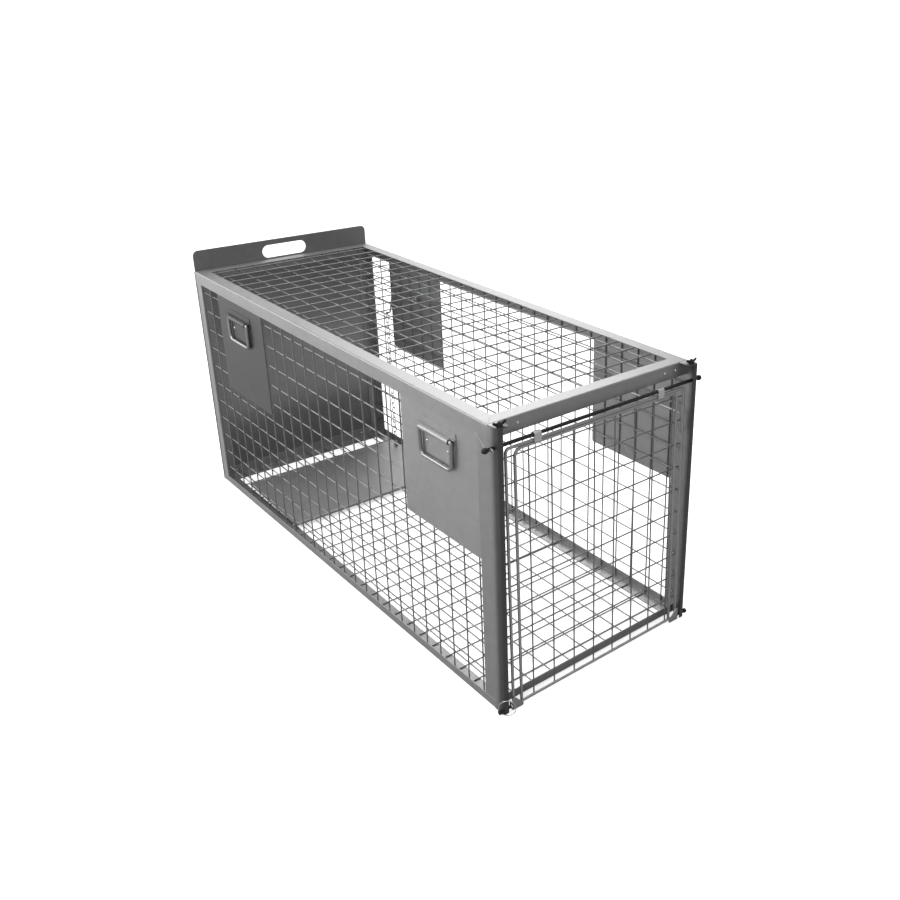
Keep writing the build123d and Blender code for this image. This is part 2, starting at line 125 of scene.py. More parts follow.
class Shape:
    """Vertices and faces gathered from simple swept and turned forms."""

    def __init__(self):
        self.verts = []
        self.faces = []

    def add(self, verts, faces):
        base = len(self.verts)
        self.verts += [Vector(v) for v in verts]
        self.faces += [tuple(base + i for i in face) for face in faces]
        return self

    def join(self, other, matrix=None):
        """Adds another shape, moved by a matrix if one is given."""
        verts = [matrix @ v for v in other.verts] if matrix else other.verts
        return self.add(verts, other.faces)

    def mirrored(self):
        """The same shape on the other side of the cage."""
        flipped = Shape()
        flipped.verts = [Vector((-v.x, v.y, v.z)) for v in self.verts]
        flipped.faces = [tuple(reversed(face)) for face in self.faces]
        return flipped

    def tube(self, path, radius, sides=14, closed=False, chamfer=0.35 * mm):
        """A round wire along a path, with lightly chamfered ends."""
        path = [Vector(p) for p in path]
        if closed and (path[0] - path[-1]).length < 1e-7:
            path = path[:-1]
        count = len(path)
        radii = [radius] * count
        if not closed:
            first = (path[1] - path[0]).normalized()
            last = (path[-1] - path[-2]).normalized()
            path.insert(1, path[0] + first * chamfer)
            path.insert(-1, path[-1] - last * chamfer)
            radii = [radius - chamfer] + [radius] * count + [radius - chamfer]
            count += 2
        tangents = []
        for i in range(count):
            before = path[i - 1] if closed or i > 0 else path[i]
            after = path[(i + 1) % count] if closed or i < count - 1 else path[i]
            tangents.append((after - before).normalized())
        side = tangents[0].orthogonal().normalized()
        verts = []
        for i, (point, tangent) in enumerate(zip(path, tangents)):
            side = (side - tangent * side.dot(tangent)).normalized()
            up = tangent.cross(side)
            for k in range(sides):
                angle = 2 * pi * k / sides
                verts.append(point + (side * cos(angle) + up * sin(angle)) * radii[i])
        shift = 0
        if closed:
            end_side = (side - tangents[0] * side.dot(tangents[0])).normalized()
            start_side = verts[0] - path[0]
            start_up = tangents[0].cross(start_side)
            turn = atan2(end_side.dot(start_up), end_side.dot(start_side))
            shift = round(turn / (2 * pi) * sides)
        faces = []
        for i in range(count if closed else count - 1):
            j = (i + 1) % count
            offset = shift if j == 0 else 0
            for k in range(sides):
                n = (k + 1) % sides
                a = j * sides + (k + offset) % sides
                b = j * sides + (n + offset) % sides
                faces.append((i * sides + k, i * sides + n, b, a))
        if not closed:
            faces.append(tuple(reversed(range(sides))))
            faces.append(tuple((count - 1) * sides + k for k in range(sides)))
        return self.add(verts, faces)

    def lathe(self, profile, origin, axis, sides=28):
        """A turned form: profile is a list of (distance along the axis, radius)."""
        origin = Vector(origin)
        axis = Vector(axis).normalized()
        u = axis.orthogonal().normalized()
        v = axis.cross(u)
        verts = []
        for along, radius in profile:
            for k in range(sides):
                angle = 2 * pi * k / sides
                rim = (u * cos(angle) + v * sin(angle)) * max(radius, 0.02 * mm)
                verts.append(origin + axis * along + rim)
        faces = []
        for i in range(len(profile) - 1):
            near = i * sides
            far = near + sides
            for k in range(sides):
                n = (k + 1) % sides
                faces.append((near + k, near + n, far + n, far + k))
        faces.append(tuple(reversed(range(sides))))
        faces.append(tuple((len(profile) - 1) * sides + k for k in range(sides)))
        return self.add(verts, faces)

    def fold(self, line, thickness, radius, place, start, end, slices=1):
        """Folded sheet: a flat centre line with rounded folds, drawn out along a length.
        place turns (a, b, length) into a point; start and end are lengths, or functions
        of (a, b) for cut-back or mitred ends."""
        centre = bend([(a, b, 0) for a, b in line], radius, steps=7) if radius else [
            Vector((a, b, 0)) for a, b in line
        ]
        sides = ([], [])
        for i, point in enumerate(centre):
            before = centre[max(i - 1, 0)]
            after = centre[min(i + 1, len(centre) - 1)]
            along = (after - before).normalized()
            normal = Vector((-along.y, along.x, 0)) * (thickness / 2)
            sides[0].append(point + normal)
            sides[1].append(point - normal)
        verts = []
        count = len(centre)
        for s in range(slices + 1):
            for side in sides:
                for p in side:
                    low = start(p.x, p.y) if callable(start) else start
                    high = end(p.x, p.y) if callable(end) else end
                    verts.append(place(p.x, p.y, low + (high - low) * s / slices))
        ring = 2 * count
        faces = []
        for s in range(slices):
            base = s * ring
            for i in range(count - 1):
                faces.append((base + i, base + i + 1, base + ring + i + 1, base + ring + i))
                j = base + count + i
                faces.append((j + 1, j, j + ring, j + ring + 1))
            faces.append((base + count, base, base + ring, base + ring + count))
            last = base + count - 1
            faces.append((last, last + count, last + count + ring, last + ring))
        for base, flip in ((0, False), (slices * ring, True)):
            for i in range(count - 1):
                quad = (base + i, base + count + i, base + count + i + 1, base + i + 1)
                faces.append(tuple(reversed(quad)) if flip else quad)
        return self.add(verts, faces)

    def flat(self, outlines, matrix, thickness, edge=0.25 * mm):
        """A flat plate from 2-D outlines, the first one outside and the others holes, with
        softened edges. Its middle plane is the matrix's XY plane."""
        curve = bpy.data.curves.new("outline", "CURVE")
        curve.dimensions = "2D"
        curve.fill_mode = "BOTH"
        curve.extrude = thickness / 2 - edge
        curve.bevel_depth = edge
        curve.bevel_resolution = 1
        curve.offset = -edge
        for outline in outlines:
            spline = curve.splines.new("POLY")
            spline.points.add(len(outline) - 1)
            for point, (a, b) in zip(spline.points, outline):
                point.co = (a, b, 0, 1)
            spline.use_cyclic_u = True
        holder = bpy.data.objects.new("outline", curve)
        bpy.context.collection.objects.link(holder)
        bpy.context.view_layer.update()
        evaluated = holder.evaluated_get(bpy.context.evaluated_depsgraph_get())
        mesh = bpy.data.meshes.new_from_object(evaluated)
        verts = [matrix @ v.co for v in mesh.vertices]
        faces = [tuple(face.vertices) for face in mesh.polygons]
        bpy.data.objects.remove(holder)
        bpy.data.curves.remove(curve)
        bpy.data.meshes.remove(mesh)
        return self.add(verts, faces)


def round_rect(a0, a1, b0, b1, radii, steps=8):
    """A rectangle's outline with its own radius at each corner, from the low corner."""
    corners = [(a0, b0), (a1, b0), (a1, b1), (a0, b1)]
    centres = [(1, 1), (-1, 1), (-1, -1), (1, -1)]
    outline = []
    for i, ((a, b), (da, db), r) in enumerate(zip(corners, centres, radii)):
        if r == 0:
            outline.append((a, b))
            continue
        for k in range(steps + 1):
            angle = pi + i * pi / 2 + k * pi / 2 / steps
            outline.append((a + da * r + r * cos(angle), b + db * r + r * sin(angle)))
    return outline


def axes(origin, u, v):
    """Matrix of a plane through an origin, with its local X and Y directions."""
    w = u.cross(v)
    return Matrix((
        (u.x, v.x, w.x, origin[0]),
        (u.y, v.y, w.y, origin[1]),
        (u.z, v.z, w.z, origin[2]),
        (0, 0, 0, 1),
    ))


def dome(radius, height=0.55):
    """Profile of a rivet head."""
    return [(0, radius)] + [
        (height * radius * sin(t * pi / 12), radius * cos(t * pi / 12)) for t in range(1, 7)
    ]


# Materials


def node(tree, kind, **values):
    made = tree.nodes.new(kind)
    for key, value in values.items():
        if key in made.inputs:
            made.inputs[key].default_value = value
        else:
            setattr(made, key, value)
    return made


def painted_shade_along(tree, place, finish, axis, stops):
    """Paints shade onto a colour along one axis: each stop is (place, strength), in rising places."""
    start = stops[0][0]
    length = stops[-1][0] - start
    split = node(tree, "ShaderNodeSeparateXYZ")
    tree.links.new(place.outputs["Object"], split.inputs["Vector"])
    reach = node(tree, "ShaderNodeMapRange")
    reach.inputs["From Min"].default_value = start
    reach.inputs["From Max"].default_value = start + length
    tree.links.new(split.outputs[axis], reach.inputs["Value"])
    strength = node(tree, "ShaderNodeValToRGB")
    strength.color_ramp.interpolation = "EASE"
    marks = strength.color_ramp.elements
    while len(marks) < len(stops):
        marks.new(0.5)
    for mark, (at, amount) in zip(marks, stops):
        mark.position = (at - start) / length
        mark.color = (amount, amount, amount, 1)
    tree.links.new(reach.outputs["Result"], strength.inputs["Fac"])
    made = node(tree, "ShaderNodeMix", data_type="RGBA")
    # The near-black colour of the painted shade.
    made.inputs["B"].default_value = (0.012, 0.012, 0.013, 1)
    tree.links.new(strength.outputs["Color"], made.inputs["Factor"])
    tree.links.new(finish.outputs["Result"], made.inputs["A"])
    return made


def steel(name, light, dark, rough, metal, grain, bump=0.02, spangle=0.35, wear=0.25, painted_shade=None):
    """Satin steel: a soft crystal mottle, drawn grain, faint stains and fine scratches.
    An axis with stops of painted shade along it may be given, to darken the colour there."""
    material = bpy.data.materials.new(name)
    material.use_nodes = True
    tree = material.node_tree
    link = tree.links.new
    shader = tree.nodes["Principled BSDF"]
    shader.inputs["Metallic"].default_value = metal
    place = node(tree, "ShaderNodeTexCoord")
    stretch = node(tree, "ShaderNodeMapping")
    stretch.inputs["Scale"].default_value = grain
    link(place.outputs["Object"], stretch.inputs["Vector"])
    drawn = node(tree, "ShaderNodeTexNoise", Scale=1.0, Detail=4.0, Roughness=0.6)
    link(stretch.outputs["Vector"], drawn.inputs["Vector"])
    crystals = node(tree, "ShaderNodeTexVoronoi", Scale=95.0)
    link(place.outputs["Object"], crystals.inputs["Vector"])
    stains = node(tree, "ShaderNodeTexNoise", Scale=7.0, Detail=5.0, Roughness=0.65)
    link(place.outputs["Object"], stains.inputs["Vector"])
    specks = node(tree, "ShaderNodeTexNoise", Scale=420.0, Detail=2.0, Roughness=0.5)
    link(place.outputs["Object"], specks.inputs["Vector"])
    crystal_value = node(tree, "ShaderNodeSeparateColor")
    link(crystals.outputs["Color"], crystal_value.inputs["Color"])
    mottle = node(tree, "ShaderNodeMix", Factor=spangle)
    link(stains.outputs["Fac"], mottle.inputs["A"])
    link(crystal_value.outputs["Red"], mottle.inputs["B"])
    mixed = node(tree, "ShaderNodeMix", Factor=0.3)
    link(mottle.outputs["Result"], mixed.inputs["A"])
    link(drawn.outputs["Fac"], mixed.inputs["B"])
    ramp = node(tree, "ShaderNodeValToRGB")
    ramp.color_ramp.elements[0].position = 0.25
    ramp.color_ramp.elements[0].color = (dark, dark, dark * 1.01, 1)
    ramp.color_ramp.elements[1].position = 0.75
    ramp.color_ramp.elements[1].color = (light, light, light * 1.01, 1)
    link(mixed.outputs["Result"], ramp.inputs["Fac"])
    scratch = node(tree, "ShaderNodeMapRange")
    scratch.inputs["From Min"].default_value = 0.62
    scratch.inputs["From Max"].default_value = 0.72
    scratch.inputs["To Max"].default_value = wear
    link(drawn.outputs["Fac"], scratch.inputs["Value"])
    worn = node(tree, "ShaderNodeMix", data_type="RGBA")
    pale = min(1.0, light * 1.35)
    worn.inputs["B"].default_value = (pale, pale, pale, 1)
    link(scratch.outputs["Result"], worn.inputs["Factor"])
    link(ramp.outputs["Color"], worn.inputs["A"])
    # Painted shade, where asked for, darkens the colour along one axis.
    finish = painted_shade_along(tree, place, worn, *painted_shade) if painted_shade else worn
    link(finish.outputs["Result"], shader.inputs["Base Color"])
    gloss = node(tree, "ShaderNodeMapRange")
    gloss.inputs["To Min"].default_value = rough - 0.08
    gloss.inputs["To Max"].default_value = rough + 0.10
    link(mixed.outputs["Result"], gloss.inputs["Value"])
    link(gloss.outputs["Result"], shader.inputs["Roughness"])
    height = node(tree, "ShaderNodeMix", Factor=0.4)
    link(drawn.outputs["Fac"], height.inputs["A"])
    link(specks.outputs["Fac"], height.inputs["B"])
    relief = node(tree, "ShaderNodeBump", Strength=bump, Distance=0.0004)
    link(height.outputs["Result"], relief.inputs["Height"])
    link(relief.outputs["Normal"], shader.inputs["Normal"])
    return material


def black_oxide(name):
    """Blackened steel with a thin oily sheen, rubbed paler in specks."""
    material = steel(name, 0.035, 0.012, 0.38, 0.4, (700, 700, 700), 0.05, 0.2, 0.5)
    return material


frame_steel = steel("frame_sheet", 0.42, 0.36, 0.44, 0.75, (260, 8, 260))
frame_cross = steel("frame_sheet_cross", 0.42, 0.36, 0.44, 0.75, (8, 260, 260))
post_steel = steel("post_sheet", 0.44, 0.37, 0.42, 0.8, (260, 260, 8))
# Painted shade: the front posts' colour darkens towards the lip's curled front edge, standing in for the
# shade there.
lip_shade = ("Y", [(front - 21 * mm, 0.74), (front - 3 * mm, 0)])
lip_steel = steel("post_lip_sheet_painted_shade", 0.41, 0.35, 0.42, 0.8, (260, 260, 8), painted_shade=lip_shade)
plate_steel = steel("plate_sheet", 0.45, 0.385, 0.46, 0.75, (200, 10, 200), 0.03)
# Painted shade: a much darker copy of the plate sheet for the left rear handle plate and bracket, which
# sit in the cage's shade.
rear_plate_painted_shade_steel = steel("rear_plate_sheet_painted_shade", 0.14, 0.11, 0.46, 0.75, (200, 10, 200), 0.03)
# Painted shade: the rear door's colour darkens towards its foot and its top, leaving a paler band
# between, to stand for how light falls on it.
door_shade = ("Z", [(0.12, 0.42), (0.22, 0), (0.34, 0), (0.46, 0.26), (0.56, 0.38)])
door_steel = steel("rear_door_sheet_painted_shade", 0.44, 0.38, 0.45, 0.75, (10, 200, 200), 0.03, painted_shade=door_shade)
treadle_steel = steel("treadle_sheet", 0.42, 0.35, 0.48, 0.75, (10, 200, 200), 0.04)
wire_steel = steel("galvanised_wire", 0.32, 0.23, 0.38, 0.85, (500, 500, 500), 0.06, 0.3, 0.3)
rod_steel = steel("satin_rod", 0.50, 0.40, 0.33, 0.9, (400, 400, 400), 0.04, 0.25, 0.4)
bright_steel = steel("bright_wire", 0.80, 0.66, 0.22, 1.0, (300, 300, 300), 0.02, 0.2, 0.3)
bail_steel = steel("bail_wire", 0.42, 0.32, 0.36, 1.0, (300, 300, 300), 0.02, 0.2, 0.3)
bracket_steel = steel("bracket_sheet", 0.78, 0.62, 0.26, 0.9, (200, 12, 200), 0.03)
black_steel = black_oxide("black_fastener")


# Pieces


def piece(name, shape, body, nodes, material, edge=0.0, smooth=35):
    """Turns a shape into a scene object that stands for CAD nodes and rides on a body."""
    mesh = bpy.data.meshes.new(name)
    mesh.from_pydata([tuple(v) for v in shape.verts], [], shape.faces)
    mesh.validate()
    cleaner = bmesh.new()
    cleaner.from_mesh(mesh)
    bmesh.ops.remove_doubles(cleaner, verts=cleaner.verts, dist=1e-6)
    bmesh.ops.recalc_face_normals(cleaner, faces=cleaner.faces)
    cleaner.to_mesh(mesh)
    cleaner.free()
    mesh.polygons.foreach_set("use_smooth", [True] * len(mesh.polygons))
    mesh.set_sharp_from_angle(angle=radians(smooth))
    made = bpy.data.objects.new(name, mesh)
    bpy.context.collection.objects.link(made)
    mesh.materials.append(material)
    if edge:
        soften = made.modifiers.new("edges", "BEVEL")
        soften.width = edge
        soften.segments = 2
        soften.limit_method = "ANGLE"
        soften.angle_limit = radians(50)
        soften.harden_normals = True
    even = made.modifiers.new("normals", "WEIGHTED_NORMAL")
    even.weight = 100
    even.keep_sharp = True
    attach(made, body)
    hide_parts(*nodes)
    return made


def pair(name, shape, body, material, edge=0.0, right=None):
    """A left-hand piece and its right-hand mirror image, which may have a finish of its
    own; body may name a side."""
    sides = (("left", shape, material), ("right", shape.mirrored(), right or material))
    for side, form, finish in sides:
        rides = body.replace("SIDE", side)
        piece(f"{name}_{side}_look", form, rides, [f"{name}_{side}"], finish, edge)


def pierce(made, holes):
    """Cuts round holes in a piece: each hole is (start, end, radius)."""
    for start, end, radius in holes:
        tool_mesh = bpy.data.meshes.new("drill")
        form = Shape().tube([start, end], radius, sides=32, chamfer=0)
        tool_mesh.from_pydata([tuple(v) for v in form.verts], [], form.faces)
        tool = bpy.data.objects.new("drill", tool_mesh)
        bpy.context.collection.objects.link(tool)
        change = made.modifiers.new("hole", "BOOLEAN")
        change.operation = "DIFFERENCE"
        change.object = tool
        change.solver = "EXACT"
        bpy.context.view_layer.update()
        evaluated = made.evaluated_get(bpy.context.evaluated_depsgraph_get())
        made.modifiers.clear()
        made.data = bpy.data.meshes.new_from_object(evaluated)
        bpy.data.objects.remove(tool)


# Frame


def along_y(a, b, length):
    return Vector((a, length, b))


def along_x(a, b, length):
    return Vector((length, a, b))


def along_z(a, b, length):
    return Vector((a, b, length))


half_sheet = sheet / 2
fold_r = 2 * mm


def top_side():
    """Left top rail, mitred at both ends."""
    line = [
        (-half_width + half_sheet, rail_bottom),
        (-half_width + half_sheet, top - half_sheet),
        (-half_width + flange, top - half_sheet),
    ]
    return Shape().fold(
        line, sheet, fold_r, along_y,
        lambda a, b: front + (a + half_width), lambda a, b: rear - (a + half_width),
    )


def top_end(outer, inward):
    """Top rail across an end, mitred at both ends."""
    line = [
        (outer + inward * half_sheet, rail_bottom),
        (outer + inward * half_sheet, top - half_sheet),
        (outer + inward * flange, top - half_sheet),
    ]
    return Shape().fold(
        line, sheet, fold_r, along_x,
        lambda a, b: -half_width + abs(a - outer), lambda a, b: half_width - abs(a - outer),
    )


def bottom_side():
    """Left bottom rail."""
    line = [
        (-half_width + half_sheet, sill),
        (-half_width + half_sheet, half_sheet),
        (-half_width + flange, half_sheet),
    ]
    return Shape().fold(line, sheet, fold_r, along_y, front, rear)


def bottom_end(outer, inward, height, depth):
    """Bottom rail across an end; its flat part stops short of the side rails."""
    line = [
        (outer + inward * half_sheet, height),
        (outer + inward * half_sheet, half_sheet),
        (outer + inward * depth, half_sheet),
    ]

    def reach(a, b):
        return inner - 0.1 * mm if b > 2.2 * mm else half_width - flange

    return Shape().fold(
        line, sheet, fold_r, along_x, lambda a, b: -reach(a, b), lambda a, b: reach(a, b)
    )


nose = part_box("front_post_left")[0].y
lip_lean = 2 * mm
lip_curl = 10.5 * mm
lip_fold = 2.2 * mm
cap_width = 26 * mm
joint_gap = 0.1 * mm
wing_low, wing_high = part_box("wing_nuts")
wing_x = half_width - 12 * mm
wing_y = (wing_low.y + wing_high.y) / 2


def front_post():
    """Left front post: side flange and a leaning guard lip with a curled front edge, in
    one folded sheet, and the cap of the wing nut."""
    shape = Shape()
    root_x = -half_width + half_sheet
    tip_x = root_x + lip_lean
    curl_end = tip_x + lip_curl - half_sheet
    lip = [(root_x, front), (tip_x, nose + half_sheet), (curl_end, nose + half_sheet)]
    flanged = [(root_x, front + flange), *lip]
    shape.fold(flanged, sheet, lip_fold, along_z, sill + joint_gap, rail_bottom - joint_gap)
    for low, high in ((0, sill), (rail_bottom, top - sheet)):
        shape.fold(lip, sheet, lip_fold, along_z, low, high)
    corner_radii = [5 * mm, 2.5 * mm, 0, 0]
    cap = round_rect(-half_width + 1 * mm, -half_width + cap_width, nose, front, corner_radii)
    return shape.flat([cap], axes((0, 0, top - half_sheet), X, Y), sheet)


def rear_post():
    """Left rear post: a plain folded angle."""
    line = [
        (-half_width + half_sheet, rear - flange),
        (-half_width + half_sheet, rear - half_sheet),
        (-half_width + flange, rear - half_sheet),
    ]
    return Shape().fold(
        line, sheet, fold_r, along_z,
        lambda a, b: (sill if a < -inner + 2 * joint_gap else rear_sill) + joint_gap,
        rail_bottom - joint_gap,
    )


def fixed(name, shape, material, edge=0.0):
    """A single piece of the frame body."""
    piece(f"{name}_look", shape, "frame", [name], material, edge)


edge = 0.3 * mm
front_sill_depth = 14 * mm
pair("top_rail", top_side(), "frame", frame_steel, edge)
fixed("top_rail_front", top_end(front, 1), frame_cross, edge)
fixed("top_rail_rear", top_end(rear, -1), frame_cross, edge)
pair("bottom_rail", bottom_side(), "frame", frame_steel, edge)
front_sill = bottom_end(front, 1, sill, front_sill_depth)
fixed("bottom_rail_front", front_sill, frame_cross, edge)
back_sill = bottom_end(rear, -1, rear_sill, flange)
fixed("bottom_rail_rear", back_sill, frame_cross, edge)
pair("rear_post", rear_post(), "frame", post_steel, edge)

pin_hole_r = 3.08 * mm
for side, sign, form in (("left", -1, front_post()), ("right", 1, front_post().mirrored())):
    name = f"front_post_{side}"
    made = piece(f"{name}_look", form, "frame", [name], lip_steel)
    outside = sign * (half_width + 5 * mm)
    inside = sign * (half_width - 20 * mm)
    pierce(made, [
        ((outside, pin_y, pin_z), (inside, pin_y, pin_z), pin_hole_r),
        ((outside, hinge_y, hinge_z), (inside, hinge_y, hinge_z), hinge_r),
    ])


# Welded mesh


def weld(shape, centre, normal, radius):
    """The small flattened bead where two wires are welded."""
    half_profile = [(0.2 * radius, radius), (0.5 * radius, 0.75 * radius)]
    profile = [(-along, r) for along, r in reversed(half_profile)] + half_profile
    shape.lathe(profile, centre, normal, sides=10)


def panel(across, lengthwise, normal):
    """Crossed wires with a bead at every weld: each list holds (start, end) pairs; the
    second list lies along the normal from the first, and the wires touch."""
    shape = Shape()
    for start, end in across + lengthwise:
        shape.tube([start, end], mesh_r, sides=12)
    for start, end in across:
        way = (end - start).normalized()
        for low, high in lengthwise:
            other = (high - low).normalized()
            gap = low - start
            crossing = start + way * gap.dot(way)
            along = (crossing - low).dot(other)
            if 0 < along < (high - low).length and 0 < gap.dot(way) < (end - start).length:
                weld(shape, crossing + normal * mesh_r, normal, bead_r)
    return shape


def wires(count, first, pitch, ends):
    """Parallel wires: ends turns a wire's place into its two end points."""
    return [tuple(Vector(end) for end in ends(first + i * pitch)) for i in range(count)]


def side_panel():
    """Left mesh: uprights outside, lengthwise wires inside them."""
    low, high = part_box("side_mesh_left")
    x_up = low.x + mesh_r
    x_long = high.x - mesh_r
    first = front + first_wire
    uprights = wires(25, first, mesh_pitch, lambda y: ((x_up, y, low.z), (x_up, y, high.z)))
    lengthwise = wires(
        11, mesh_pitch, mesh_pitch, lambda z: ((x_long, low.y, z), (x_long, high.y, z))
    )
    return panel(uprights, lengthwise, X)


def flat_panel(name, first, upward):
    """Top or floor mesh; upward is the side of the cross wires that the long ones lie on."""
    low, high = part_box(name)
    z_cross, z_long = low.z + mesh_r, high.z - mesh_r
    if upward < 0:
        z_cross, z_long = z_long, z_cross
    cross = wires(25, first, mesh_pitch, lambda y: ((low.x, y, z_cross), (high.x, y, z_cross)))
    lengthwise = wires(
        9, -4 * mesh_pitch, mesh_pitch, lambda x: ((x, low.y, z_long), (x, high.y, z_long))
    )
    return panel(cross, lengthwise, Z * upward)


def door_panel():
    """Mesh of the front door, upright behind its rods."""
    low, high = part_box("door_mesh")
    y_up = hinge_y + rod_r + mesh_r
    y_cross = y_up + 2 * mesh_r
    uprights = wires(8, -170 * mm, door_pitch, lambda x: ((x, y_up, low.z), (x, y_up, high.z)))
    cross = wires(10, 58 * mm, door_pitch, lambda z: ((low.x, y_cross, z), (high.x, y_cross, z)))
    return panel(uprights, cross, Y)


pair("side_mesh", side_panel(), "frame", wire_steel)
top_panel = flat_panel("top_mesh", front + first_top_wire, -1)
fixed("top_mesh", top_panel, wire_steel)
floor_panel = flat_panel("floor_mesh", front + first_wire, 1)
fixed("floor_mesh", floor_panel, wire_steel)


# Front door, modelled upright and then hung with its foot forward, on the lock pins' line

rod_r = 3 * mm
door_lean = atan2(hinge_y - pin_y, hinge_z - pin_z)
to_hinge = Matrix.Translation((0, hinge_y, hinge_z))
hang = to_hinge @ Matrix.Rotation(-door_lean, 4, "X") @ to_hinge.inverted()
ear_z = hinge_z - (hinge_z - pin_z) / cos(door_lean)


def door_piece(name, shape, material, edge=0.0):
    """A piece of the front door, turned about the hinge rod."""
    piece(f"{name}_look", Shape().join(shape, hang), "front_door", [name], material, edge)


frame_low, frame_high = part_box("door_frame")
door_half = frame_high.x - rod_r
door_top = frame_high.z - rod_r
brace_low, brace_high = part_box("door_brace")
brace_half = brace_high.x - rod_r
bar_low, bar_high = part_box("door_bottom_bar")


def door_hoop(half, low, high, radius):
    """A rod up one side of the door, across its top and down the other side."""
    corners = [
        (-half, hinge_y, low), (-half, hinge_y, high), (half, hinge_y, high), (half, hinge_y, low),
    ]
    return Shape().tube(bend(corners, radius, steps=10), rod_r, 20)


outer_rod = door_hoop(door_half, frame_low.z, door_top, 9 * mm)
inner_rod = door_hoop(brace_half, brace_low.z, brace_high.z - rod_r, 14 * mm)
bar_z = (bar_low.z + bar_high.z) / 2
bottom_bar = Shape().tube([(bar_low.x, hinge_y, bar_z), (bar_high.x, hinge_y, bar_z)], rod_r, 20)
door_piece("door_mesh", door_panel(), wire_steel)
door_piece("door_frame", outer_rod, rod_steel)
door_piece("door_brace", inner_rod, rod_steel)
door_piece("door_bottom_bar", bottom_bar, rod_steel)


def hinge_loop(x):
    """Strap wrapped round the hinge rod with its tail welded down the door's top bar."""
    centre = Vector((hinge_y, hinge_z, 0))
    wrap = circle(centre, X, Y, 4.7 * mm, radians(-100), radians(280), 30)
    line = [(p.x, p.y) for p in wrap]
    line += [(hinge_y - 4.6 * mm, hinge_z - 6 * mm), (hinge_y - 4.1 * mm, door_top - 4 * mm)]
    return Shape().fold(line, 1.7 * mm, 0, along_x, x - 8 * mm, x + 8 * mm)


loops = hinge_loop(-155 * mm).join(hinge_loop(155 * mm))
door_piece("door_hinge_loops", loops, bracket_steel, 0.25 * mm)


def corner_bracket():
    """Triangular gusset in front of the rods, with the pierced ear of the lock pin."""
    ear_in = -door_half - rod_r
    ear_out = ear_in - sheet
    face = hinge_y - rod_r
    low = 2 * mm
    ear_top = 17 * mm
    high = 30 * mm
    wide = ear_in + 24 * mm
    corner = [
        (ear_in, low), (wide - 2 * mm, low), (wide, low + 2 * mm), (wide, 8 * mm),
        (ear_in + 4 * mm, high), (ear_out, high), (ear_out, ear_top), (ear_in, ear_top),
    ]
    shape = Shape().flat([corner], axes((0, face - half_sheet, 0), X, Z), sheet)
    ear = round_rect(face - sheet, hinge_y + 5.5 * mm, low, ear_top, [0, 3 * mm, 3 * mm, 0])
    hole_r = 3.4 * mm
    hole = [(hinge_y + hole_r * cos(t * pi / 16), ear_z + hole_r * sin(t * pi / 16)) for t in range(32)]
    return shape.flat([ear, hole], axes(((ear_in + ear_out) / 2, 0, 0), Y, Z), sheet)


brackets = corner_bracket()
brackets.join(corner_bracket().mirrored())
door_piece("door_corner_brackets", brackets, plate_steel)


# Hinge rod, pins and wing nuts

rod_line = [(hinge_low.x, hinge_y, hinge_z), (hinge_high.x, hinge_y, hinge_z)]
rod = Shape().tube(rod_line, hinge_r, 24, chamfer=0.8 * mm)
fixed("hinge_rod", rod, black_steel)
rod_end = 264 * mm
nut_seat = 4 * mm
nut_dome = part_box("hinge_rod_nuts")[1].x - rod_end - nut_seat
nut_r = 5.6 * mm
dome_r = 5.4 * mm
nut_profile = [(0, 4.9 * mm), (0.5 * mm, nut_r), (3.7 * mm, nut_r), (nut_seat, dome_r)]
for t in range(1, 7):
    angle = t * pi / 12
    nut_profile.append((nut_seat + nut_dome * sin(angle), dome_r * cos(angle)))
nuts = Shape()
nuts.lathe(nut_profile, (rod_end, hinge_y, hinge_z), X, 32)
nuts.lathe(nut_profile, (-rod_end, hinge_y, hinge_z), -X, 32)
fixed("hinge_rod_nuts", nuts, black_steel)


def rod_clip():
    """Wire clip through the hinge rod: an eye in front and two spread legs behind."""
    x = -259.6 * mm
    shape = Shape()
    shape.tube([(x, hinge_y - 6 * mm, hinge_z), (x, hinge_y + 5.6 * mm, hinge_z)], 1.5 * mm)
    eye = circle(Vector((x, hinge_y - 9.6 * mm, hinge_z)), Y, Z, 4.4 * mm)
    shape.tube(eye, 1.45 * mm, 14, closed=True)
    for lift, far, tip in ((0.4 * mm, 36 * mm, 20 * mm), (-0.4 * mm, 26 * mm, -14 * mm)):
        leg = [
            (x, hinge_y + 4.6 * mm, hinge_z + lift),
            (x, hinge_y + 10 * mm, hinge_z + lift),
            (x, hinge_y + far, hinge_z + tip),
        ]
        shape.tube(bend(leg, 3 * mm), 1.0 * mm)
    return shape


fixed("hinge_rod_clip", rod_clip(), bail_steel)

pin_r = 3 * mm
head_r = 5 * mm
pin_length = pin_high.x - pin_low.x
shank = pin_length - 6 * mm
pin_profile = [
    (0, 2.2 * mm), (1.2 * mm, pin_r), (shank, pin_r), (shank, 4.6 * mm),
    (shank + 0.4 * mm, head_r), (pin_length - 0.6 * mm, head_r), (pin_length, 4.3 * mm),
]
for side, sign in (("left", -1), ("right", 1)):
    pin = Shape().lathe(pin_profile, (sign * pin_low.x, pin_y, pin_z), X * sign, 32)
    name = f"lock_pin_{side}"
    piece(f"{name}_look", pin, name, [name], black_steel)


def split_ring():
    """Nearly two close turns of thin wire around the ring's own circle."""
    low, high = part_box("lock_pin_ring")
    across = Vector((0.75, -0.66, 0)).normalized()
    normal = across.cross(Z)
    rise = normal * 1.1 * mm
    start = (low + high) / 2 - rise / 2
    path = circle(start, across, Z, 16.8 * mm, 0.6, 3.85 * pi, 120, rise)
    return Shape().tube(path, 0.62 * mm, 10)


ring = split_ring()
piece("lock_pin_ring_look", ring, "lock_pin_ring", ["lock_pin_ring"], bright_steel)


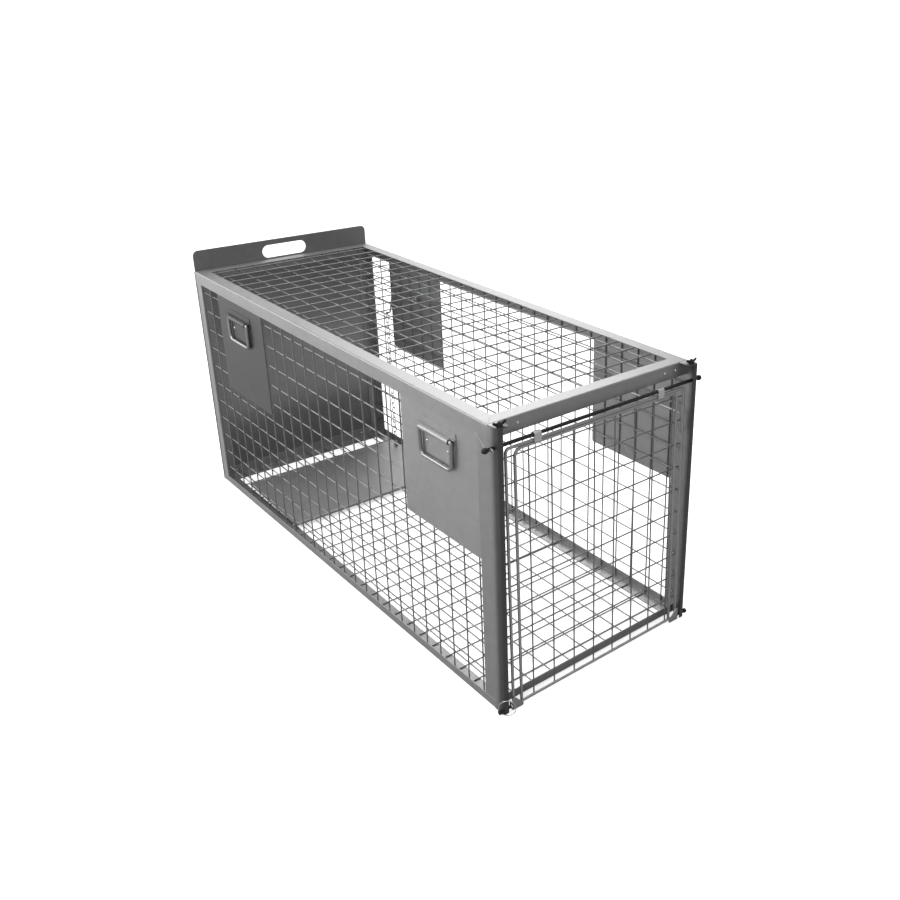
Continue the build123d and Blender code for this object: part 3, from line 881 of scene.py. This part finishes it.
def threaded(length, radius, pitch=1.0 * mm):
    """Profile of a threaded shank."""
    profile = [(0, radius)]
    along = 0.2 * mm
    while along < length - pitch:
        profile += [(along, radius), (along + pitch / 2, radius - 0.35 * mm)]
        along += pitch
    return profile + [(length - 0.5 * mm, radius - 0.1 * mm), (length, radius - 0.6 * mm)]


def wing_nut():
    """Left wing nut: a conical hub with two rounded ears."""
    base = (-wing_x, wing_y, top)
    shape = Shape().lathe(
        [(0, 5.4 * mm), (0.5 * mm, 5.8 * mm), (6.4 * mm, 4.7 * mm), (7 * mm, 4.2 * mm)], base, Z, 28
    )
    root = [(3.2 * mm, 0.8 * mm), (8 * mm, 1.6 * mm)]
    tip = [
        (11.8 * mm + 2.7 * mm * cos(radians(t)), 7.2 * mm + 2.7 * mm * sin(radians(t)))
        for t in range(-60, 141, 20)
    ]
    ear = root + tip + [(3.2 * mm, 5.4 * mm)]
    shape.flat([ear], axes(base, X, Z), 2.3 * mm, 0.6 * mm)
    mirrored_ear = [(-a, b) for a, b in reversed(ear)]
    return shape.flat([mirrored_ear], axes(base, X, Z), 2.3 * mm, 0.6 * mm)


def wing_bolt():
    """Left bolt of the wing nut, threaded, with a low round head under the cap."""
    shape = Shape().lathe(
        [(-3 * mm, 4 * mm), (-2.6 * mm, 5 * mm), (-0.6 * mm, 5.5 * mm), (0, 5.5 * mm)],
        (-wing_x, wing_y, top - sheet), Z, 28,
    )
    return shape.lathe(threaded(11 * mm, 3 * mm), (-wing_x, wing_y, top - sheet), Z, 24)


both_nuts = wing_nut()
both_nuts.join(wing_nut().mirrored())
both_bolts = wing_bolt()
both_bolts.join(wing_bolt().mirrored())
fixed("wing_nuts", both_nuts, black_steel)
fixed("wing_bolts", both_bolts, black_steel)

rivet_rows = (("front_rail_rivets", front, 585 * mm), ("rear_sill_rivets", rear - sheet, 16 * mm))
for name, y, z in rivet_rows:
    heads = Shape()
    for x in (-214 * mm, -184 * mm, 184 * mm, 214 * mm):
        heads.lathe(dome(3.2 * mm), (x, y, z), -Y, 24)
    fixed(name, heads, bright_steel)


# Rear door and guides

rear_low, rear_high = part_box("rear_door")


def rear_door():
    """Lift-out sheet with rounded top corners and a hand slot."""
    outline = round_rect(rear_low.x, rear_high.x, rear_low.z, rear_high.z, [0, 0, 14 * mm, 14 * mm])
    slot = round_rect(-63 * mm, 63 * mm, top + 3.8 * mm, top + 37.8 * mm, [16.9 * mm] * 4, 12)
    middle = (rear_low.y + rear_high.y) / 2
    return Shape().flat([outline, slot], axes((0, middle, 0), X, Z), rear_high.y - rear_low.y, 0.35 * mm)


piece("rear_door_look", rear_door(), "rear_door", ["rear_door"], door_steel)


def rear_guide():
    """Left folded channel round the rear door's edge, closed at the foot."""
    low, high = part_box("rear_guide_left")
    half = plate / 2
    line = [(low.x + half, low.y), (low.x + half, high.y - half), (high.x, high.y - half)]
    shape = Shape().fold(line, plate, 1.2 * mm, along_z, low.z, high.z)
    foot = round_rect(low.x + plate, high.x, low.y, high.y - plate, [0, 0, 0, 0])
    return shape.flat([foot], axes((0, 0, 1 * mm), X, Y), 2 * mm)


pair("rear_guide", rear_guide(), "frame", post_steel, 0.25 * mm)


# Handles


def handle_plate(place):
    """Left sheet infill with small rounded lower corners."""
    low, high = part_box(f"handle_plate_{place}_left")
    outline = round_rect(low.y, high.y, low.z, high.z, [5 * mm, 5 * mm, 0, 0])
    middle = (low.x + high.x) / 2
    return Shape().flat([outline], axes((middle, 0, 0), Y, Z), high.x - low.x)


def handle_bracket(place):
    """Left bracket: a back plate with its top edge rolled around the bail's ends."""
    low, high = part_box(f"handle_bracket_{place}_left")
    middle = (low.y + high.y) / 2
    axis_x = low.x + 6.3 * mm
    axis_z = high.z - 18 * mm
    strip = round_rect(low.y, high.y, axis_z - 9 * mm, high.z, [2 * mm] * 4)
    pad = round_rect(low.y + 10 * mm, high.y - 10 * mm, low.z, axis_z - 9 * mm, [4 * mm, 4 * mm, 0, 0])
    back = axes((high.x - plate / 2, 0, 0), Y, Z)
    shape = Shape().flat([strip], back, plate, 0.35 * mm).flat([pad], back, plate, 0.35 * mm)
    wrap = circle(Vector((axis_x, axis_z, 0)), X, Y, 5.3 * mm, radians(95), radians(255), 26)
    line = [(high.x - plate, axis_z + 5.5 * mm), *[(p.x, p.y) for p in wrap]]
    roll_half = 47 * mm
    shape.fold(line, 1.6 * mm, 0, along_y, middle - roll_half, middle + roll_half)
    ledge = [(high.x - plate, axis_z + 5.5 * mm), (axis_x + 1 * mm, axis_z + 5.6 * mm)]
    shape.fold(ledge, 1.6 * mm, 0, along_y, low.y, middle - roll_half)
    shape.fold(ledge, 1.6 * mm, 0, along_y, middle + roll_half, high.y)
    return shape


def handle_bail(place):
    """Left drop bail: two stub ends in the roll, two legs and a grip bar."""
    low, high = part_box(f"handle_bail_{place}_left")
    r = 4 * mm
    x = low.x + r
    middle = (low.y + high.y) / 2
    leg = (high.y - low.y) / 2 - r
    axis_z = high.z - r
    foot_z = low.z + r
    waist_z = (axis_z + foot_z) / 2
    waist = leg - 1.5 * mm
    foot = leg - 3 * mm
    left_end = [(x, middle - 30 * mm, axis_z), (x, middle - leg, axis_z), (x, middle - waist, waist_z)]
    grip = [
        (x, middle - waist, waist_z), (x, middle - foot, foot_z),
        (x, middle + foot, foot_z), (x, middle + waist, waist_z),
    ]
    right_end = [(x, middle + waist, waist_z), (x, middle + leg, axis_z), (x, middle + 30 * mm, axis_z)]
    path = bend(left_end, 4.8 * mm, steps=8)[:-1]
    path += bend(grip, 12 * mm, steps=10)
    path += bend(right_end, 4.8 * mm, steps=8)[1:]
    return Shape().tube(path, r, 20)


def handle_rivets(place):
    low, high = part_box(f"handle_rivets_{place}_left")
    middle = (low.y + high.y) / 2
    centre = (low.z + high.z) / 2
    shape = Shape()
    for dy in (-34 * mm, 34 * mm):
        shape.lathe(dome(3 * mm), (high.x, middle + dy, centre), -X, 24)
    return shape


for place in ("front", "rear"):
    # The left rear handle plate and bracket take the darker sheet of painted shade; the others take the
    # plain plate sheet.
    infill = plate_steel if place == "front" else rear_plate_painted_shade_steel
    sheet_piece = handle_plate(place)
    pair(f"handle_plate_{place}", sheet_piece, "frame", infill, right=plate_steel)
    bracket = handle_bracket(place)
    pair(f"handle_bracket_{place}", bracket, "frame", infill, right=plate_steel)
    rides = f"bail_{place}_SIDE"
    pair(f"handle_bail_{place}", handle_bail(place), rides, bail_steel)
    pair(f"handle_rivets_{place}", handle_rivets(place), "frame", bright_steel)


# Treadle, lever and chain

rod_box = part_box("treadle_rod")
axis_y = (rod_box[0].y + rod_box[1].y) / 2
axis_z = (rod_box[0].z + rod_box[1].z) / 2
treadle_length = 278 * mm
treadle_lean = radians(1.7)
chain_low, chain_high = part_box("pull_chain")
chain_x = (chain_low.x + chain_high.x) / 2
chain_y = (chain_low.y + chain_high.y) / 2


def treadle():
    """Leaning plate with its front edge rolled around the rod and a lug for the chain,
    modelled level with its pivot at the origin."""
    low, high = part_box("treadle_plate")
    flat = Shape()
    deck_z = -3.45 * mm
    roll = circle(Vector((0, 0, 0)), X, Y, 3.4 * mm, radians(-30), radians(300), 30)
    line = [(p.x, p.y) for p in roll] + [(2 * mm, deck_z), (treadle_length, deck_z)]
    flat.fold(line, plate, 0, along_x, low.x, high.x)
    near = chain_y - axis_y - 8 * mm
    far = near + 16 * mm
    lug = round_rect(near, far, -3 * mm, 13.8 * mm, [0, 0, 7 * mm, 7 * mm])
    hole_y = (near + far) / 2
    hole_z = 7.8 * mm
    hole_r = 3.5 * mm
    turn = [t * pi / 14 for t in range(28)]
    hole = [(hole_y + hole_r * cos(a), hole_z + hole_r * sin(a)) for a in turn]
    flat.flat([lug, hole], axes((chain_x, 0, 0), Y, Z), sheet)
    foot = round_rect(chain_x + 1 * mm, chain_x + 9 * mm, near, far, [0, 3 * mm, 3 * mm, 0])
    flat.flat([foot], axes((0, 0, -2 * mm), X, Y), plate)
    lean = Matrix.Translation((0, axis_y, axis_z)) @ Matrix.Rotation(treadle_lean, 4, "X")
    return Shape().join(flat, lean)


deck = treadle()
piece("treadle_plate_look", deck, "treadle", ["treadle_plate"], treadle_steel, 0.25 * mm)
pivot_line = [(rod_box[0].x, axis_y, axis_z), (rod_box[1].x, axis_y, axis_z)]
pivot = Shape().tube(pivot_line, 2.5 * mm, 20)
fixed("treadle_rod", pivot, rod_steel)


def treadle_bracket():
    """Left bracket of the treadle's rod."""
    low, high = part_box("treadle_brackets")
    leg_x = low.x + 10 * mm
    line = [(low.x, low.z + half_sheet), (leg_x, low.z + half_sheet), (leg_x, high.z)]
    return Shape().fold(line, sheet, 1.5 * mm, along_y, low.y, high.y)


both = treadle_bracket()
both.join(treadle_bracket().mirrored())
fixed("treadle_brackets", both, plate_steel, 0.25 * mm)

lever_r = 2.5 * mm
lever_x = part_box("trip_lever")[1].x - lever_r
lever_y = front + 1000 * mm
lever_z = 487 * mm
leg_drop = 55 * mm
hook_drop = 44 * mm
eye_r = 6.5 * mm
stud_at = Vector((0, lever_y, lever_z + eye_r))


def trip_lever():
    """Long wire with a hooked front end, an eye around its stud, and a rear leg."""
    points = [
        (chain_x - 4 * mm, chain_y, lever_z - leg_drop),
        (chain_x + 11 * mm, chain_y, lever_z - leg_drop),
        (lever_x, chain_y, lever_z),
        (lever_x, front, lever_z),
        (lever_x, front, lever_z - hook_drop),
    ]
    shape = Shape().tube(bend(points, 6 * mm, steps=8), lever_r, 16)
    eye = circle(stud_at + X * lever_x, Y, Z, eye_r)
    return shape.tube(eye, lever_r - 0.1 * mm, 16, closed=True)


piece("trip_lever_look", trip_lever(), "trip_lever", ["trip_lever"], rod_steel)
stud_r = 4 * mm
shoulder_r = 4.8 * mm
shoulder_x = lever_x + 2.7 * mm
stud = Shape().lathe(
    [
        (lever_x - 9 * mm, 3.4 * mm), (lever_x - 8.4 * mm, stud_r), (shoulder_x, stud_r),
        (shoulder_x, shoulder_r), (inner, shoulder_r),
    ],
    stud_at, X, 28,
)
fixed("lever_stud", stud, plate_steel)
nut_corner = 6.6 * mm
hexagon = [(nut_corner * cos(t * pi / 3), nut_corner * sin(t * pi / 3)) for t in range(6)]
nut_plane = axes(stud_at + X * (lever_x - 5.3 * mm), Y, Z)
nut = Shape().flat([hexagon], nut_plane, 4.6 * mm, 0.4 * mm)
fixed("lever_nut", nut, plate_steel)


def pull_chain():
    """Upright links, alternate ones turned across."""
    shape = Shape()
    count = 26
    length = 19.6 * mm
    wire_r = 1 * mm
    pitch = (chain_high.z - chain_low.z - length) / (count - 1)
    rise = Z * (length / 2 - wire_r)
    for i in range(count):
        middle = Vector((chain_x, chain_y, chain_high.z - length / 2 - i * pitch))
        side = (Y if i % 2 == 0 else X) * 4 * mm
        low = middle - rise
        high = middle + rise
        corners = [low - side, low + side, high + side, high - side]
        shape.tube(bend(corners, 3.9 * mm, closed=True, steps=7), wire_r, 10, closed=True)
    return shape


piece("pull_chain_look", pull_chain(), "pull_chain", ["pull_chain"], wire_steel)


# Studio


def studio():
    """Pale floor, soft light from above and the left, and a darker front."""
    scene = bpy.context.scene
    scene.view_settings.view_transform = "Standard"
    size = 14.0
    floor_mesh = bpy.data.meshes.new("floor")
    corners = [(-size, -size, 0), (size, -size, 0), (size, size, 0), (-size, size, 0)]
    floor_mesh.from_pydata(corners, [], [(0, 1, 2, 3)])
    floor = bpy.data.objects.new("floor", floor_mesh)
    scene.collection.objects.link(floor)
    floor.location.z = -0.3 * mm
    paper = bpy.data.materials.new("paper")
    paper.use_nodes = True
    paper_tree = paper.node_tree
    grain = node(paper_tree, "ShaderNodeTexNoise", Scale=60.0, Detail=3.0)
    tint = node(paper_tree, "ShaderNodeValToRGB")
    tint.color_ramp.elements[0].color = (0.93, 0.93, 0.93, 1)
    tint.color_ramp.elements[1].color = (0.96, 0.96, 0.96, 1)
    paper_tree.links.new(grain.outputs["Fac"], tint.inputs["Fac"])
    matt = node(paper_tree, "ShaderNodeBsdfDiffuse")
    paper_tree.links.new(tint.outputs["Color"], matt.inputs["Color"])
    shade = node(paper_tree, "ShaderNodeBsdfDiffuse", Color=(0.42, 0.42, 0.42, 1))
    glow = node(paper_tree, "ShaderNodeEmission", Strength=0.62)
    lit = node(paper_tree, "ShaderNodeAddShader")
    paper_tree.links.new(matt.outputs[0], lit.inputs[0])
    paper_tree.links.new(glow.outputs[0], lit.inputs[1])
    seen = node(paper_tree, "ShaderNodeLightPath")
    either = node(paper_tree, "ShaderNodeMixShader")
    paper_tree.links.new(seen.outputs["Is Camera Ray"], either.inputs["Fac"])
    paper_tree.links.new(shade.outputs[0], either.inputs[1])
    paper_tree.links.new(lit.outputs[0], either.inputs[2])
    paper_tree.links.new(either.outputs[0], paper_tree.nodes["Material Output"].inputs["Surface"])
    floor_mesh.materials.append(paper)

    world = bpy.data.worlds.new("studio")
    scene.world = world
    world.use_nodes = True
    tree = world.node_tree
    link = tree.links.new
    background = tree.nodes["Background"]
    place = node(tree, "ShaderNodeTexCoord")
    split = node(tree, "ShaderNodeSeparateXYZ")
    link(place.outputs["Generated"], split.inputs["Vector"])
    total = None
    for axis, low, high in (("X", 0.26, 0.08), ("Y", 0.00, 0.16), ("Z", 0.03, 0.42)):
        span = node(tree, "ShaderNodeMapRange")
        span.inputs["From Min"].default_value = -1
        span.inputs["From Max"].default_value = 1
        span.inputs["To Min"].default_value = low
        span.inputs["To Max"].default_value = high
        link(split.outputs[axis], span.inputs["Value"])
        if total is None:
            total = span
        else:
            add = node(tree, "ShaderNodeMath", operation="ADD")
            link(total.outputs[0], add.inputs[0])
            link(span.outputs[0], add.inputs[1])
            total = add
    rays = node(tree, "ShaderNodeLightPath")
    choose = node(tree, "ShaderNodeMix")
    choose.inputs["B"].default_value = 1.05
    link(rays.outputs["Is Camera Ray"], choose.inputs["Factor"])
    link(total.outputs[0], choose.inputs["A"])
    link(choose.outputs["Result"], background.inputs["Strength"])
    background.inputs["Color"].default_value = (1, 1, 1, 1)


def area_light(name, place, aim, size, power):
    data = bpy.data.lights.new(name, "AREA")
    data.size = size
    data.energy = power
    lamp = bpy.data.objects.new(name, data)
    bpy.context.collection.objects.link(lamp)
    lamp.location = place
    lamp.rotation_euler = (Vector(aim) - Vector(place)).to_track_quat("-Z", "Y").to_euler()


def photo_camera():
    """Camera from the front left, a little above, with the frame's aim shifted."""
    azimuth, elevation, roll = radians(-42.05), radians(22.87), radians(0.82)
    back = Vector((sin(azimuth) * cos(elevation), -cos(azimuth) * cos(elevation), sin(elevation)))
    right = (-back).cross(Z).normalized()
    up = right.cross(-back)
    turned_right = right * cos(roll) + up * sin(roll)
    turned_up = -right * sin(roll) + up * cos(roll)
    data = bpy.data.cameras.new("camera")
    data.sensor_width = 36
    data.lens = 38.957
    data.shift_x = -0.15279
    data.shift_y = -0.04999
    camera = bpy.data.objects.new("camera", data)
    bpy.context.collection.objects.link(camera)
    camera.matrix_world = Matrix((
        (turned_right.x, turned_up.x, back.x, -1.13221),
        (turned_right.y, turned_up.y, back.y, -1.84600),
        (turned_right.z, turned_up.z, back.z, 1.27364),
        (0, 0, 0, 1),
    ))
    bpy.context.scene.camera = camera


studio()
area_light("key", (-2.6, -0.4, 3.2), (0, 0, 0.3), 2.2, 38)
area_light("side", (-2.6, 2.7, 0.9), (-0.25, 0, 0.3), 2.4, 60)
area_light("top", (0.3, 0.6, 3.6), (0, 0, 0.3), 2.5, 34)
area_light("back", (1.9, 2.2, 2.6), (0, -0.5, 0.5), 1.6, 30)
photo_camera()
